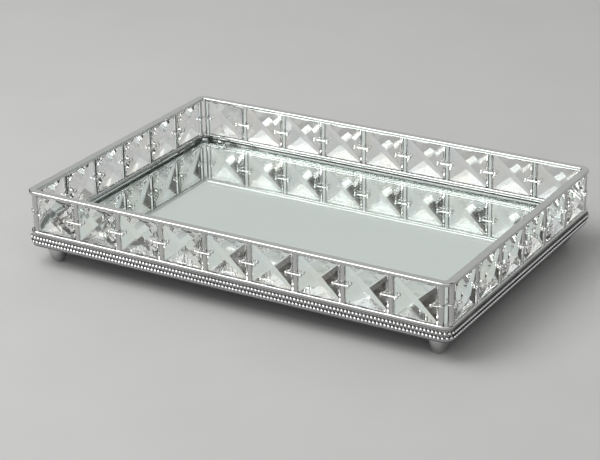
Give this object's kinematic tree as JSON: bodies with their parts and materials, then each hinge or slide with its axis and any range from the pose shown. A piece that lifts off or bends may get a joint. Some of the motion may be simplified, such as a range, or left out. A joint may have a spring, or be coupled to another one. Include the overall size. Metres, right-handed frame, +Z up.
{
  "type": "mirrored vanity tray",
  "caption": "Rectangular mirrored vanity tray with walls of cut crystals between two chromed rails, a stone-set base band and domed feet.",
  "frame": {"origin": "centre of the tray in plan, on the surface that the feet stand on", "axes": "+X along the long side, +Y towards the back, +Z up"},
  "size_m": [0.296, 0.203, 0.0493],
  "materials": {
    "chrome": "bright chrome plate on steel bar, faintly brushed on the flat top",
    "band_strip": "chrome plate, dark where it shows between the stones",
    "stones": "small clear cut stones set in bright plated cups",
    "base_sheet": "plain steel sheet, hidden under the mirror",
    "felt": "short-pile black felt",
    "mirror_glass": "clear bevelled float glass, pale green at the edge",
    "silvering": "silvered back of the mirror, protected by paint",
    "tape": "white foam mounting tape",
    "posts": "bright chrome plate on round steel bar",
    "link_pins": "bright plated wire with rounded beads",
    "feet": "soft polished plate on cast domes",
    "screws": "plain steel countersunk screws",
    "crystal": "clear cut crystal, polished facets"
  },
  "bodies": {
    "root": {"top_rail": "chrome", "lower_rail": "chrome", "band_strip": "band_strip", "stone_row_upper": "stones", "stone_row_lower": "stones", "base_sheet": "base_sheet", "base_felt": "felt", "mirror_glass": "mirror_glass", "mirror_silvering": "silvering", "mirror_tape": "tape", "posts_front": "posts", "posts_right": "posts", "posts_back": "posts", "posts_left": "posts", "link_pins_front": "link_pins", "link_pins_right": "link_pins", "link_pins_back": "link_pins", "link_pins_left": "link_pins", "foot_front_left": "feet", "foot_front_right": "feet", "foot_back_left": "feet", "foot_back_right": "feet", "foot_screws": "screws", "crystal_front_1": "crystal", "crystal_front_2": "crystal", "crystal_front_3": "crystal", "crystal_front_4": "crystal", "crystal_front_5": "crystal", "crystal_front_6": "crystal", "crystal_front_7": "crystal", "crystal_front_8": "crystal", "crystal_front_9": "crystal", "crystal_right_1": "crystal", "crystal_right_2": "crystal", "crystal_right_3": "crystal", "crystal_right_4": "crystal", "crystal_right_5": "crystal", "crystal_right_6": "crystal", "crystal_back_1": "crystal", "crystal_back_2": "crystal", "crystal_back_3": "crystal", "crystal_back_4": "crystal", "crystal_back_5": "crystal", "crystal_back_6": "crystal", "crystal_back_7": "crystal", "crystal_back_8": "crystal", "crystal_back_9": "crystal", "crystal_left_1": "crystal", "crystal_left_2": "crystal", "crystal_left_3": "crystal", "crystal_left_4": "crystal", "crystal_left_5": "crystal", "crystal_left_6": "crystal"}
  },
  "joints": []
}
